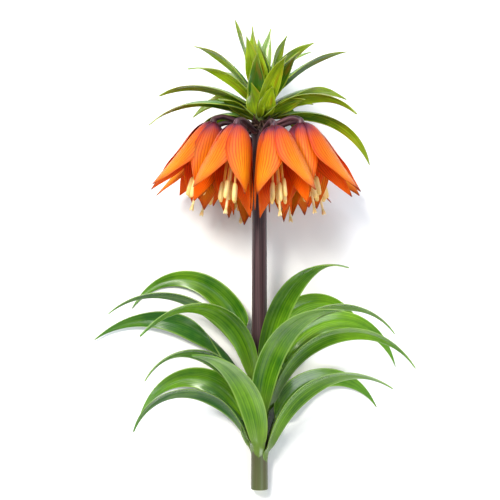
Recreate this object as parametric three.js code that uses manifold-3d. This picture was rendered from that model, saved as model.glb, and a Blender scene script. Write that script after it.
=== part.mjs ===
// Crown imperial fritillary (Fritillaria imperialis): one flowering stem, cut and laid on a flat surface.
//
// The plant is worked out in its own growing frame, in millimetres: x across the stem, y along the stem
// towards the crown, z away from the surface, and the umbel, where the flower stalks leave the stem, at
// the origin. settle() then presses the head against the surface as its own weight does, and lay() tips
// and lifts the plant to where it rests: on its cut end and on the two bells under the head.
import * as THREE from "three";
import { mergeVertices } from "three/addons/utils/BufferGeometryUtils.js";
import Module from "manifold-3d";

const { Vector3 } = THREE;
const rad = THREE.MathUtils.degToRad;

// ---- Driving dimensions, in millimetres and degrees ----

// How it lies
const UMBEL_HEIGHT = 46; // the stem's middle line above the surface, at the umbel
const CUT_HEIGHT = 5.6; // the same at the cut end, which sits on a small flat
const PRESSED_SHARE = 0.54; // how deep the head stays under the stem, as a share of its free depth
const SAGGED_SHARE = 0.9; // the same above the stem, where the bells sag towards it
const STIFF_DEPTH = 10; // nearer the stem than this, little gives way
const PRESSED_FLAT = 0.3; // how far a tepal under the head is pressed into the flat it rests on
const SOFTNESS = 0.6; // the height over which a blade eases onto the surface
const TOUCHING_HEIGHT = 14; // a leaf this near the surface starts to run along it

// Stem and flower stalks
const STEM_LENGTH = 262; // from the umbel down to the cut
const STEM_RADIUS_TOP = 4.9;
const STEM_RADIUS_CUT = 6.1;
const STALK_RADIUS = 1.9;
const STALK_RISE = 4.5; // how far a flower stalk arches above the bell it carries

// Bells
const BELL_COUNT = 8;
const RING_TURN = -6; // how far the ring of bells is turned, so that the two in front stand unevenly
const BELL_RING_RADIUS = 34; // from the stem's middle line to the top of a bell
const BELL_RISE = 1; // the top of a bell above the umbel, before it sinks
const UPPER_DROP = 4.5; // how far the bells on top have sunk
const UNDER_DROP = 9; // and those underneath, which hang on longer stalks
const BELL_TILT = 12; // outward lean of a bell from the stem's direction
const TEPAL_COUNT = 6;
const TEPAL_LENGTH = 66;
const TEPAL_HALF_WIDTH = 13;
const TEPAL_THICKNESS = 1.0;
const TEPAL_RING_GAP = 2.0; // three tepals stand this much further out than the other three
const BELL_NARROWING = 0.94; // a bell is narrower round the stem than away from it
const BELL_ROLL = 0.72; // how far the bells on top have turned to face up, as a share of the way
const TEPAL_ROOT_RADIUS = 2.6;
const TEPAL_SLOPE = 17; // a tepal's angle from the bell's own axis, at its middle
const SHOULDER_SLOPE = 60; // how much more it is at the round shoulder
const TIP_SLOPE = 17; // and how much more at the flaring tip
const OUTWARD_SLOPE = 6; // and for the tepals that hang on the side away from the stem
const FRONT_SPREAD = 6; // how far the tepals part at the front of a bell
const BELL_GAP = 1.1; // half the clearance kept between the middle surfaces of two bells
const INNER_TEPAL_GAP = 2.4; // the same for the inner ring of tepals

// Stamens and style
const ANTHER_LENGTH = 14;
const ANTHER_RADIUS = 1.75;
const ANTHER_START = 40; // from the top of the bell, along it
const ANTHER_RING_RADIUS = 4.6;
const FILAMENT_RADIUS = 0.75;
const STYLE_LENGTH = 65;
const OVARY_LENGTH = 11;
const OVARY_RADIUS = 2.6;

// The crown: leafy bracts in a spiral, from the lowest and longest to the ones at the tip
const BRACT_COUNT = 26;
const SPIRAL_START = 99; // the azimuth of the lowest one
const SPIRAL_ANGLE = 137.5;
const LOOKING_UP = 50; // the bracts nearer than this to straight up stand shorter and more upright
const UPRIGHT = { length: 0.4, start: 0.6, end: 0.7 }; // and how much so, as shares
const CROWN_START = 3; // the lowest bract above the umbel
const CROWN_AXIS_LENGTH = 32;
const LOWEST_BRACT = { length: 88, halfWidth: 6.8, start: 68, end: 160 };
const TOP_BRACT = { length: 42, halfWidth: 5.4, start: 4, end: 12 };
const COLLAR_COUNT = 8; // short broad bracts round the crown's base, between the long ones
const COLLAR_BRACT = { length: 40, halfWidth: 6.6, start: 52, end: 100 };
const BRACT_THICKNESS = 1.0;

// Leaves: three whorls round the stem
const WHORLS = [
  { name: "upper", y: -178, count: 6, first: -146, step: 58.4 },
  { name: "middle", y: -203, count: 5, first: -118, step: 62 },
  { name: "lower", y: -229, count: 5, first: -140, step: 67 },
];
const LEAF_SEED = 49; // picks one set of small variations among many
const LEAF_LENGTH = 130;
const LEAF_HALF_WIDTH = 8.6;
const LEAF_THICKNESS = 1.1;
const LEAF_START = 15; // a leaf's angle from the stem at its root
const LEAF_END = 142; // and at its drooping tip
const LEAF_SWEEP = 0.9; // how far a leaf that faces up sweeps to its own side
const LEAF_HELD_UP = 0.3; // and how much less it droops

const JOINT_GAP = 0.3; // clearance between separate pieces that touch

// ---- Where things are ----

const LEAN = Math.asin((UMBEL_HEIGHT - CUT_HEIGHT) / STEM_LENGTH);
const LAID = new THREE.Matrix4().makeRotationX(LEAN).setPosition(0, 0, UMBEL_HEIGHT);

const surfaceUnder = (y) => -(UMBEL_HEIGHT + y * Math.sin(LEAN)) / Math.cos(LEAN);
const stemRadius = (y) =>
  THREE.MathUtils.mapLinear(y, 0, -STEM_LENGTH, STEM_RADIUS_TOP, STEM_RADIUS_CUT);

// A repeatable small variation, from -spread to spread.
function vary(seed, spread) {
  const s = Math.sin(seed * 127.1 + 311.7) * 43758.5453;
  return spread * (2 * (s - Math.floor(s)) - 1);
}

// How far an azimuth is from straight up, from 0 to 180.
const fromUp = (azimuth) => Math.abs(((azimuth + 540) % 360) - 180);

// The directions away from the stem and round it, at an azimuth measured from straight up.
function around(azimuth) {
  const a = rad(azimuth);
  return {
    out: new Vector3(Math.sin(a), 0, Math.cos(a)),
    side: new Vector3(Math.cos(a), 0, -Math.sin(a)),
  };
}

// A soft limit: b while it is well above the limit, and never below it.
const softly = (b, limit, softness) =>
  limit + softness * Math.log1p(Math.exp((b - limit) / softness));

// The head gives way to the surface below it and to its own weight above, and nothing goes under.
function settle(p, thickness = 0) {
  const depth = Math.abs(p.z);
  const share = p.z < 0 ? PRESSED_SHARE : SAGGED_SHARE;
  const given = share * depth + (1 - share) * STIFF_DEPTH * Math.tanh(depth / STIFF_DEPTH);
  const floor = surfaceUnder(p.y) + thickness / 2 - PRESSED_FLAT;
  return new Vector3(p.x, p.y, softly(Math.sign(p.z) * given, floor, SOFTNESS));
}

// A stiff leaf keeps its shape, and only gives way where it meets the surface.
const onSurface = (p, thickness) =>
  new Vector3(p.x, p.y, softly(p.z, surfaceUnder(p.y) + thickness / 2, SOFTNESS));

const lay = (p) => p.clone().applyMatrix4(LAID);

// ---- Solids ----

const wasm = await Module();
wasm.setup();

function solidOf(geometry) {
  const merged = mergeVertices(geometry, 1e-4);
  return new wasm.Manifold(
    new wasm.Mesh({
      numProp: 3,
      vertProperties: merged.attributes.position.array,
      triVerts: new Uint32Array(merged.index.array),
    }),
  );
}

// Joins solids that grow from each other, presses them flat where they meet the surface, and keeps
// the one body that they make.
function fuse(geometries) {
  const whole = geometries
    .map(solidOf)
    .reduce((a, b) => a.add(b))
    .trimByPlane([0, 0, 1], 0);
  const body = whole.decompose().reduce((a, b) => (b.volume() > a.volume() ? b : a));
  const { vertProperties, triVerts } = body.getMesh();
  return new THREE.BufferGeometry()
    .setAttribute("position", new THREE.BufferAttribute(vertProperties, 3))
    .setIndex(new THREE.BufferAttribute(triVerts, 1));
}

// A closed geometry from points that are already laid down.
function closed(points, triangles) {
  const values = points.flatMap((p) => p.toArray());
  return new THREE.BufferGeometry()
    .setAttribute("position", new THREE.Float32BufferAttribute(values, 3))
    .setIndex(triangles);
}

// A thin blade of even thickness round a middle surface, given as rows of points across it.
function blade(rows, thickness) {
  const last = rows.length - 1;
  const wide = rows[0].length;
  const at = (i, j) =>
    rows[THREE.MathUtils.clamp(i, 0, last)][THREE.MathUtils.clamp(j, 0, wide - 1)];
  const faces = [[], []];
  rows.forEach((row, i) =>
    row.forEach((p, j) => {
      const along = at(i + 1, j).clone().sub(at(i - 1, j));
      const across = at(i, j + 1).clone().sub(at(i, j - 1));
      const half = across.cross(along).normalize().multiplyScalar(thickness / 2);
      faces[0].push(p.clone().add(half));
      faces[1].push(p.clone().sub(half));
    }),
  );
  const offset = faces[0].length;
  const index = (i, j) => i * wide + j;
  const triangles = [];
  for (let i = 0; i < last; i++)
    for (let j = 0; j < wide - 1; j++) {
      const [a, b, c, d] = [index(i, j), index(i, j + 1), index(i + 1, j + 1), index(i + 1, j)];
      triangles.push(a, b, c, a, c, d);
      triangles.push(offset + a, offset + c, offset + b, offset + a, offset + d, offset + c);
    }
  const rim = [];
  for (let j = 0; j < wide - 1; j++) rim.push(index(0, j));
  for (let i = 0; i < last; i++) rim.push(index(i, wide - 1));
  for (let j = wide - 1; j > 0; j--) rim.push(index(last, j));
  for (let i = last; i > 0; i--) rim.push(index(i, 0));
  rim.forEach((a, k) => {
    const b = rim[(k + 1) % rim.length];
    triangles.push(a, offset + a, b, b, offset + a, offset + b);
  });
  return closed([...faces[0], ...faces[1]], triangles);
}

// A rod through points, round in section, with its own radius at each.
function rod(points, radii, sides) {
  const curve = new THREE.CatmullRomCurve3(points);
  const steps = points.length - 1;
  const { normals, binormals } = curve.computeFrenetFrames(steps, false);
  const ring = (i) =>
    Array.from({ length: sides }, (_, k) => {
      const a = (2 * Math.PI * k) / sides;
      return points[i]
        .clone()
        .addScaledVector(normals[i], radii[i] * Math.cos(a))
        .addScaledVector(binormals[i], radii[i] * Math.sin(a));
    });
  const all = points.flatMap((_, i) => ring(i));
  const triangles = [];
  for (let i = 0; i < steps; i++)
    for (let k = 0; k < sides; k++) {
      const [a, b] = [i * sides + k, i * sides + ((k + 1) % sides)];
      triangles.push(a, b, b + sides, a, b + sides, a + sides);
    }
  const end = steps * sides;
  for (let k = 1; k < sides - 1; k++) {
    triangles.push(0, k + 1, k);
    triangles.push(end, end + k, end + k + 1);
  }
  return closed(all, triangles);
}

// The row of points across a blade whose section is an arc, hollow on the side of its normal.
function acrossBlade({ p, normal, across, halfWidth, hollow }, columns) {
  return Array.from({ length: columns + 1 }, (_, j) => {
    const angle = ((2 * j) / columns - 1) * (halfWidth / hollow);
    return p
      .clone()
      .addScaledVector(across, hollow * Math.sin(angle))
      .addScaledVector(normal, hollow * (1 - Math.cos(angle)));
  });
}

// ---- Bells ----

// The angle of tepal j round its bell, from the bell's front, where two tepals part.
function tepalAngle(j) {
  const even = (360 * (j + 0.5)) / TEPAL_COUNT;
  return even + FRONT_SPREAD * Math.sin(rad(even)) * (1 + Math.cos(rad(even)));
}

// How far a bell has turned: on top it faces up, at the side anyhow, and underneath it lies on the
// back of one tepal.
function bellRoll(k, azimuth) {
  const side = azimuth < 180 ? 1 : -1;
  if (fromUp(azimuth) < 90) return -BELL_ROLL * side * fromUp(azimuth);
  if (fromUp(azimuth) < 135) return vary(k + 60, 20);
  return side * (180 - fromUp(azimuth) - tepalAngle(0));
}

// The place and the directions of bell k: down is along its own axis, and lift and side are across it.
function bellPlace(k) {
  const azimuth = 360 * ((k + 0.5) / BELL_COUNT) + RING_TURN;
  const { out, side } = around(azimuth);
  const tilt = rad(BELL_TILT + vary(k, 2.5));
  const down = out.clone().multiplyScalar(Math.sin(tilt));
  down.y = -Math.cos(tilt);
  const lift = out.clone().multiplyScalar(Math.cos(tilt));
  lift.y = Math.sin(tilt);
  const top = out.clone().multiplyScalar(BELL_RING_RADIUS + vary(k + 20, 1.2));
  const drop = out.z > 0 ? UPPER_DROP : UNDER_DROP;
  top.y = vary(k + 40, 1.5) + BELL_RISE - drop * Math.abs(out.z);
  return { out, side, down, lift, top, roll: bellRoll(k, azimuth) };
}

// Keeps a point of a bell on its own side of the planes that part it from its neighbours.
function betweenNeighbours(p, { out, side }, gap) {
  const limit = Math.max(p.dot(out), 6) * Math.tan(Math.PI / BELL_COUNT) - gap;
  const share = p.dot(side) / limit;
  const free = 0.6; // up to this share of the room a bell keeps its own form
  const held =
    Math.abs(share) < free
      ? share
      : Math.sign(share) * (free + (1 - free) * Math.tanh((Math.abs(share) - free) / (1 - free)));
  return p.clone().addScaledVector(side, (held - share) * limit);
}

// A tepal's half width, at t from 0 at the top to 1 at the tip.
const tepalHalfWidth = (t) =>
  TEPAL_HALF_WIDTH * Math.sin(Math.PI * t ** 0.84) ** 1.1 + 0.5 + 0.4 * (1 - t) ** 4;

// The distances of a tepal's middle line from the bell's axis and along it, for one that faces
// outward (1), inward (-1) or between.
function tepalCurve(facing, to) {
  const steps = 40;
  const slope = (t) =>
    TEPAL_SLOPE +
    SHOULDER_SLOPE * Math.exp(-t / 0.1) +
    TIP_SLOPE * t ** 3 +
    OUTWARD_SLOPE * facing * t ** 0.25;
  let [from, along] = [TEPAL_ROOT_RADIUS, 0];
  for (let i = 0; i < steps; i++) {
    const angle = rad(slope((to * (i + 0.5)) / steps));
    from += (Math.sin(angle) * TEPAL_LENGTH * to) / steps;
    along += (Math.cos(angle) * TEPAL_LENGTH * to) / steps;
  }
  return { from, along };
}

const TEPAL_ROWS = [0, 0.1, 0.27, 0.5, 0.76, 1];
const TEPAL_COLUMNS = 2;
const PRESSED_TEPAL_COLUMNS = 3; // for a tepal whose middle lies flat on the surface
const FACING_DOWN = -0.85; // which it does where it faces down more than this

function tepal(k, j) {
  const place = bellPlace(k);
  const { down, lift, side, top, roll } = place;
  const turn = rad(tepalAngle(j) + roll + vary(k * 7 + j, 3));
  const outward = lift
    .clone()
    .multiplyScalar(Math.cos(turn))
    .addScaledVector(side, BELL_NARROWING * Math.sin(turn));
  const round = side.clone().multiplyScalar(Math.cos(turn)).addScaledVector(lift, -Math.sin(turn));
  const columns = outward.z < FACING_DOWN ? PRESSED_TEPAL_COLUMNS : TEPAL_COLUMNS;
  const inner = j % 2 === 1;
  const curve = TEPAL_ROWS.map((t) => tepalCurve(Math.cos(turn), t));
  const parting = TEPAL_ROWS.map(
    (t) => (inner ? -0.5 : 0.5) * TEPAL_RING_GAP * Math.min(1, t / 0.1),
  );
  const spine = curve.map(({ from, along }, i) =>
    top.clone().addScaledVector(down, along).addScaledVector(outward, from + parting[i]),
  );
  const rows = spine.map((p, i) => {
    const t = TEPAL_ROWS[i];
    const ahead = spine[Math.min(i + 1, spine.length - 1)];
    const behind = spine[Math.max(i - 1, 0)];
    const normal = ahead.clone().sub(behind).normalize().cross(round).normalize();
    if (normal.dot(outward) > 0) normal.negate();
    const hollow = curve[i].from * (inner ? 0.8 : 1) + 1;
    const row = { p, normal, across: round, halfWidth: tepalHalfWidth(t), hollow };
    const gap = inner ? INNER_TEPAL_GAP : BELL_GAP;
    return acrossBlade(row, columns).map((q) =>
      lay(settle(betweenNeighbours(q, place, gap), TEPAL_THICKNESS)),
    );
  });
  return blade(rows, TEPAL_THICKNESS);
}

// A point on the bell's own axis, or beside it towards an angle round the bell.
function inBell({ top, down, lift, side }, along, from = 0, turn = 0) {
  return lay(
    settle(
      top
        .clone()
        .addScaledVector(down, along)
        .addScaledVector(lift, from * Math.cos(turn))
        .addScaledVector(side, from * Math.sin(turn)),
    ),
  );
}

function bell(k) {
  const place = bellPlace(k);
  const knob = rod(
    [0, 1.6, 3.2].map((along) => inBell(place, along)),
    [2.2, 4.6, 3.2],
    8,
  );
  const tepals = Array.from({ length: TEPAL_COUNT }, (_, j) => tepal(k, j));
  return fuse([knob, ...tepals]);
}

// The ovary, the style with its split tip, and six stamens, hanging in the bell.
function stamens(k) {
  const place = bellPlace(k);
  const start = 3.2 + JOINT_GAP;
  const ovary = rod(
    [start, start + 3, start + OVARY_LENGTH].map((along) => inBell(place, along)),
    [1.8, OVARY_RADIUS, 1.8],
    6,
  );
  const style = rod(
    [start + OVARY_LENGTH - 1.5, STYLE_LENGTH - 5, STYLE_LENGTH - 1.5, STYLE_LENGTH].map((along) =>
      inBell(place, along),
    ),
    [0.9, 0.8, 1.7, 1.2],
    4,
  );
  const stamen = (j) => {
    const turn = rad((360 * j) / 6 + place.roll + vary(k * 5 + j, 8));
    const reach = ANTHER_START + vary(k * 11 + j, 2.5);
    const end = reach + ANTHER_LENGTH;
    return rod(
      [
        inBell(place, start + 2, 0.8, turn),
        inBell(place, reach, ANTHER_RING_RADIUS - 0.4, turn),
        inBell(place, reach + 1.6, ANTHER_RING_RADIUS, turn),
        inBell(place, end, ANTHER_RING_RADIUS + 1, turn),
      ],
      [FILAMENT_RADIUS, FILAMENT_RADIUS, ANTHER_RADIUS, ANTHER_RADIUS * 0.8],
      4,
    );
  };
  return fuse([ovary, style, ...Array.from({ length: 6 }, (_, j) => stamen(j))]);
}

// ---- Stem ----

// The stem's own body, and the eight flower stalks that arch out of it.
function stem() {
  const levels = [-STEM_LENGTH, -STEM_LENGTH / 2, -15, -5, 0];
  const swelling = [0, 0, 0, 1.1, 0.4];
  const shaft = rod(
    levels.map((y) => lay(new Vector3(0, y, 0))),
    levels.map((y, i) => stemRadius(y) + swelling[i]),
    14,
  );
  const stalk = (k) => {
    const { out, down, top } = bellPlace(k);
    const end = top.clone().addScaledVector(down, -3 * JOINT_GAP);
    const rise = (share, height) => {
      const p = out.clone().multiplyScalar(share * top.length());
      p.y = top.y + height;
      return p;
    };
    const points = [
      new Vector3(0, -4, 0).addScaledVector(out, 1.5),
      rise(0.3, -STALK_RISE * 0.38),
      rise(0.75, STALK_RISE * 0.9),
      end.clone().addScaledVector(down, -3),
      end,
    ];
    return rod(
      points.map((p) => lay(settle(p))),
      [1.1, 1, 0.95, 1.05, 1.3].map((share) => share * STALK_RADIUS),
      6,
    );
  };
  return fuse([shaft, ...Array.from({ length: BELL_COUNT }, (_, k) => stalk(k))]);
}

// ---- Leaves ----

// A lance-shaped outline, widest below the middle, from a narrow root to a long point.
const lance = (t, halfWidth, rootHalfWidth) =>
  rootHalfWidth * (1 - t) ** 3 + halfWidth * Math.sin(Math.PI * t ** 0.72) ** 1.1 + 0.35;

const GROWTH_STEPS = 40;

// The middle line of a leaf that leaves the stem at a slant and droops, as rows of a blade. A leaf
// that meets the surface runs on along it, and every leaf turns its face a little upwards.
function grow({ azimuth, root, y, length, start, end, sway, facing, rows, width }) {
  const { out, side } = around(azimuth);
  const p = out.clone().multiplyScalar(root);
  p.y = y;
  const frames = [];
  for (let step = 0; step <= GROWTH_STEPS; step++) {
    const t = step / GROWTH_STEPS;
    const angle = rad(start + (end - start) * t ** 1.15);
    const way = out.clone().multiplyScalar(Math.sin(angle)).addScaledVector(side, sway * t);
    way.y = Math.cos(angle);
    const height = p.z - surfaceUnder(p.y);
    const touching = THREE.MathUtils.smoothstep(height, 1.5, TOUCHING_HEIGHT);
    if (way.z < 0) way.z *= touching;
    way.normalize();
    if (step % (GROWTH_STEPS / rows) === 0) {
      const upright = side.clone().cross(way).normalize();
      const turned = facing * t * (2 - t) + (1 - touching) * THREE.MathUtils.smoothstep(t, 0, 0.3);
      const normal = upright.lerp(new Vector3(0, 0, 1), Math.min(turned, 1));
      normal.addScaledVector(way, -normal.dot(way)).normalize();
      const across = way.clone().cross(normal);
      frames.push({ p: p.clone(), normal, across, t, ...width(t) });
    }
    p.addScaledVector(way, length / GROWTH_STEPS);
  }
  return frames;
}

// A bract of the crown. Those that face up stand shorter and more upright.
function bract(seed, azimuth, y, form) {
  const upward = Math.cos(rad(90 * Math.min(fromUp(azimuth) / LOOKING_UP, 1)));
  const frames = grow({
    azimuth,
    root: 3,
    y,
    length: form.length * (1 + vary(seed + 100, 0.12)) * (1 - UPRIGHT.length * upward),
    start: form.start * (1 - UPRIGHT.start * upward) + vary(seed + 200, 4),
    end: form.end * (1 - UPRIGHT.end * upward) + vary(seed + 300, 14),
    sway: vary(seed + 400, 0.25),
    facing: 0.45,
    rows: 4,
    width: (t) => ({ halfWidth: lance(t, form.halfWidth, 1.6), hollow: 7 + 5 * t }),
  });
  const rows = frames.map((frame) =>
    acrossBlade(frame, 2).map((q) => lay(settle(q, BRACT_THICKNESS))),
  );
  return blade(rows, BRACT_THICKNESS);
}

// Bract n of the spiral: the higher it stands, the shorter and the more upright it is.
function spiralBract(n) {
  const share = (n / (BRACT_COUNT - 1)) ** 1.2;
  const between = (key) => THREE.MathUtils.lerp(LOWEST_BRACT[key], TOP_BRACT[key], share);
  const form = Object.fromEntries(Object.keys(LOWEST_BRACT).map((key) => [key, between(key)]));
  const azimuth = SPIRAL_START + SPIRAL_ANGLE * n + vary(n, 8);
  return bract(n, azimuth, THREE.MathUtils.lerp(CROWN_START, CROWN_AXIS_LENGTH - 3, share), form);
}

function collarBract(n) {
  const azimuth = (360 * (n + 0.5)) / COLLAR_COUNT - 180 + vary(n + 700, 9);
  return bract(n + 720, azimuth, CROWN_START + 0.5 + vary(n + 740, 1), COLLAR_BRACT);
}

function crown() {
  const axis = rod(
    [JOINT_GAP, 8, 20, CROWN_AXIS_LENGTH].map((y) => lay(new Vector3(0, y, 0))),
    [4, 5, 4.2, 2.2],
    8,
  );
  const spiral = Array.from({ length: BRACT_COUNT }, (_, n) => spiralBract(n));
  const collar = Array.from({ length: COLLAR_COUNT }, (_, n) => collarBract(n));
  return fuse([axis, ...spiral, ...collar]);
}

function leaf(whorl, number) {
  const seed = number - whorl.y + LEAF_SEED;
  const azimuth = whorl.first + whorl.step * number + vary(seed + 31, 6);
  const facingUp = Math.max(0, Math.cos(rad(azimuth))) ** 6;
  const y = whorl.y + vary(seed, 3);
  const root = stemRadius(y) + LEAF_THICKNESS / 2 + 2 * JOINT_GAP;
  const frames = grow({
    azimuth,
    root,
    y,
    length: LEAF_LENGTH * (1 + vary(seed + 62, 0.14)),
    start: LEAF_START + vary(seed + 93, 4),
    end: (LEAF_END + vary(seed + 124, 26)) * (1 - LEAF_HELD_UP * facingUp),
    sway: vary(seed + 155, 0.3) + LEAF_SWEEP * Math.sign(azimuth) * facingUp,
    facing: 0.45,
    rows: 8,
    width: (t) => ({
      halfWidth: lance(t, LEAF_HALF_WIDTH, 2.6),
      hollow: root + 10 * Math.sqrt(t),
    }),
  });
  const rows = frames.map((frame) =>
    acrossBlade(frame, 2).map((q) => lay(onSurface(q, LEAF_THICKNESS))),
  );
  return fuse([blade(rows, LEAF_THICKNESS)]);
}

// ---- Assembly ----

const finish = (color, roughness) =>
  new THREE.MeshStandardMaterial({ color, roughness, metalness: 0 });
const STEM_PURPLE = finish(0x4b3238, 0.55);
const TEPAL_ORANGE = finish(0xf0792a, 0.5);
const ANTHER_CREAM = finish(0xf2d38c, 0.7);
const BRACT_GREEN = finish(0x7a9c2e, 0.4);
const LEAF_GREEN = finish(0x4a8f38, 0.35);

const plant = new THREE.Group();

function add(name, geometry, material) {
  const mesh = new THREE.Mesh(geometry, material);
  mesh.name = name;
  plant.add(mesh);
}

add("stem", stem(), STEM_PURPLE);
add("crown", crown(), BRACT_GREEN);
for (let k = 0; k < BELL_COUNT; k++) {
  add(`bell_${k + 1}`, bell(k), TEPAL_ORANGE);
  add(`stamens_${k + 1}`, stamens(k), ANTHER_CREAM);
}
for (const whorl of WHORLS)
  for (let number = 0; number < whorl.count; number++)
    add(`leaf_${whorl.name}_${number + 1}`, leaf(whorl, number), LEAF_GREEN);

// The origin is on the surface, under the middle of the plant's outline.
const outline = new THREE.Box3().setFromObject(plant);
const middle = outline.getCenter(new Vector3());
plant.position.set(-middle.x, -middle.y, -outline.min.z);

export default plant;
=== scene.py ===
"""A crown imperial fritillary: one flowering stem, cut and laid down on a pale surface.

The plant is worked out in its own growing frame, in millimetres: x across the stem, y along the stem
towards the crown, z away from the surface, and the umbel, where the flower stalks leave the stem, at
the origin. settle() presses the head against the surface, and lay() puts a point where the plant lies,
in metres. The driving dimensions are those of the solids in the frame, and the pieces are finer.
"""

import math

import bpy
from mathutils import Matrix, Vector


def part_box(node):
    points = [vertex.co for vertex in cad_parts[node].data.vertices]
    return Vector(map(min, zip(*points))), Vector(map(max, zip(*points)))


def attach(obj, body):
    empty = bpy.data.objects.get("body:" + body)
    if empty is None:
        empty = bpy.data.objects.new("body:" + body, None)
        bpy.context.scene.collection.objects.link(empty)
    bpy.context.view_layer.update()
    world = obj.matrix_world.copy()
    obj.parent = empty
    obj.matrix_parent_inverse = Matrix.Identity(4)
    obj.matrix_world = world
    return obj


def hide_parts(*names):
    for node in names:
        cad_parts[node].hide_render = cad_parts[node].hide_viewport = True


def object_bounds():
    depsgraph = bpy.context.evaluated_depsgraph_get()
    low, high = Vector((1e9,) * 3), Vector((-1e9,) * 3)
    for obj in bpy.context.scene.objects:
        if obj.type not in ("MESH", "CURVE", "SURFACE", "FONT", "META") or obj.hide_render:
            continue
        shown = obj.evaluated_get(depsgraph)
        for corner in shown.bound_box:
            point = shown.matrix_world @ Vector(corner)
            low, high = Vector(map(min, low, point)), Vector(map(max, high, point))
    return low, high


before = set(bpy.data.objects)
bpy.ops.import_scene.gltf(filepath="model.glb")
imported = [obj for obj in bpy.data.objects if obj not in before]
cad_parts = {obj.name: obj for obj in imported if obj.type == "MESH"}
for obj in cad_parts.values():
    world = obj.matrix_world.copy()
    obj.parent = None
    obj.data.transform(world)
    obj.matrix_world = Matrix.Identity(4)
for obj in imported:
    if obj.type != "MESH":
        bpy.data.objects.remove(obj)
CAD_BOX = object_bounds()
MM = 0.001

# ---- Driving dimensions, in millimetres and degrees ----

# How it lies
UMBEL_HEIGHT = 46  # the stem's middle line above the surface, at the umbel
CUT_HEIGHT = 5.6  # the same at the cut end
PRESSED_SHARE = 0.54  # how deep the head stays under the stem, as a share of its free depth
SAGGED_SHARE = 0.9  # the same above the stem, where the bells sag towards it
STIFF_DEPTH = 10  # nearer the stem than this, little gives way
PRESSED_FLAT = 0.3  # how far a tepal under the head is pressed flat
SOFTNESS = 0.6  # the height over which a blade eases onto the surface
TOUCHING_HEIGHT = 14  # a leaf this near the surface starts to run along it

# Stem and flower stalks
STEM_LENGTH = 262  # from the umbel down to the cut
STEM_RADIUS_TOP = 4.9
STEM_RADIUS_CUT = 6.1
STALK_RADIUS = 1.9
STALK_RISE = 4.5  # how far a flower stalk arches above the bell it carries

# Bells
BELL_COUNT = 8
RING_TURN = -6  # how far the ring of bells is turned, so that the two in front stand unevenly
BELL_RING_RADIUS = 34  # from the stem's middle line to the top of a bell
BELL_RISE = 1  # the top of a bell above the umbel, before it sinks
UPPER_DROP = 4.5  # how far the bells above the stem have sunk
UNDER_DROP = 9  # and those underneath, which hang on longer stalks
BELL_TILT = 12  # outward lean of a bell from the stem's direction
TEPAL_COUNT = 6
TEPAL_LENGTH = 66
TEPAL_HALF_WIDTH = 13
TEPAL_FLESH = 0.8  # the thickness of a tepal along its middle
TEPAL_ROOM = 1.0  # the thickness that its solid takes
TEPAL_RING_GAP = 2.0  # three tepals stand this much further out than the other three
BELL_NARROWING = 0.94  # a bell is narrower round the stem than away from it
BELL_ROLL = 0.72  # how far the bells on top have turned to face up, as a share of the way
TEPAL_ROOT_RADIUS = 2.6
TEPAL_SLOPE = 17  # a tepal's angle from the bell's own axis, at its middle
SHOULDER_SLOPE = 60  # how much more it is at the round shoulder
TIP_SLOPE = 17  # and how much more at the flaring tip
OUTWARD_SLOPE = 6  # and for the tepals that hang on the side away from the stem
FRONT_SPREAD = 6  # how far the tepals part at the front of a bell
WEDGE_START = 6  # nearer the stem's middle line than this, a bell's room narrows no more
BELL_GAP = 1.1  # half the clearance kept between the middle surfaces of two bells
INNER_TEPAL_GAP = 2.4  # the same for the inner ring of tepals
EDGE_WAVE = 0.55  # how far a tepal's edge waves in and out
EDGE_WAVES = 2.3  # how many times it does so from root to tip
TEPAL_FOLD = 0.35  # the depth of the soft fold along a tepal's middle
FOLD_WIDTH = 0.16  # and its width, as a share of the tepal's half width

# Stamens and style
STAMEN_COUNT = 6
STIGMA_LOBES = 3
ANTHER_LENGTH = 14
ANTHER_RADIUS = 1.75
ANTHER_START = 40  # from the top of the bell, along it
ANTHER_RING_RADIUS = 4.6
ANTHER_PROFILE = (0, 0.62, 0.92, 1, 0.98, 1, 0.95, 0.85, 0.55, 0)  # its radius along it, as shares
OVARY_START = 3.5
OVARY_LENGTH = 11
STYLE_LENGTH = 65

# The umbel
SCALE_COUNT = 120  # dry scale leaves between the flower stalks, kept dark so that they also give painted shade in the gaps there
SCALE_STEPS = 9  # steps along one
SCALE_FLESH = 0.4

# The crown
BRACT_COUNT = 26
SPIRAL_START = 99  # the azimuth of the lowest bract
SPIRAL_ANGLE = 137.5
LOOKING_UP = 50  # the bracts nearer than this to straight up stand shorter and more upright
UPRIGHT = {"length": 0.4, "start": 0.6, "end": 0.7}  # and how much so, as shares
CROWN_START = 3  # the lowest bract above the umbel
CROWN_AXIS_LENGTH = 32
LOWEST_BRACT = {"length": 88, "half_width": 6.8, "start": 68, "end": 160}
TOP_BRACT = {"length": 42, "half_width": 5.4, "start": 4, "end": 12}
COLLAR_COUNT = 8  # short broad bracts round the crown's base
COLLAR_BRACT = {"length": 40, "half_width": 6.6, "start": 52, "end": 100}
BRACT_ROOT_RADIUS = 3  # where a bract leaves the crown's axis
BRACT_ROOT_HALF_WIDTH = 2.2
BRACT_COLUMNS = 6
BRACT_FLESH = 0.9
BRACT_ROOM = 1.0

# Leaves
WHORLS = {
    "upper": {"y": -178, "count": 6, "first": -146, "step": 58.4},
    "middle": {"y": -203, "count": 5, "first": -118, "step": 62},
    "lower": {"y": -229, "count": 5, "first": -140, "step": 67},
}
LEAF_SEED = 49  # picks one set of small variations among many
LEAF_LENGTH = 130
LEAF_HALF_WIDTH = 8.6
LEAF_ROOT_HALF_WIDTH = 4.6
LEAF_COLUMNS = 8
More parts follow.
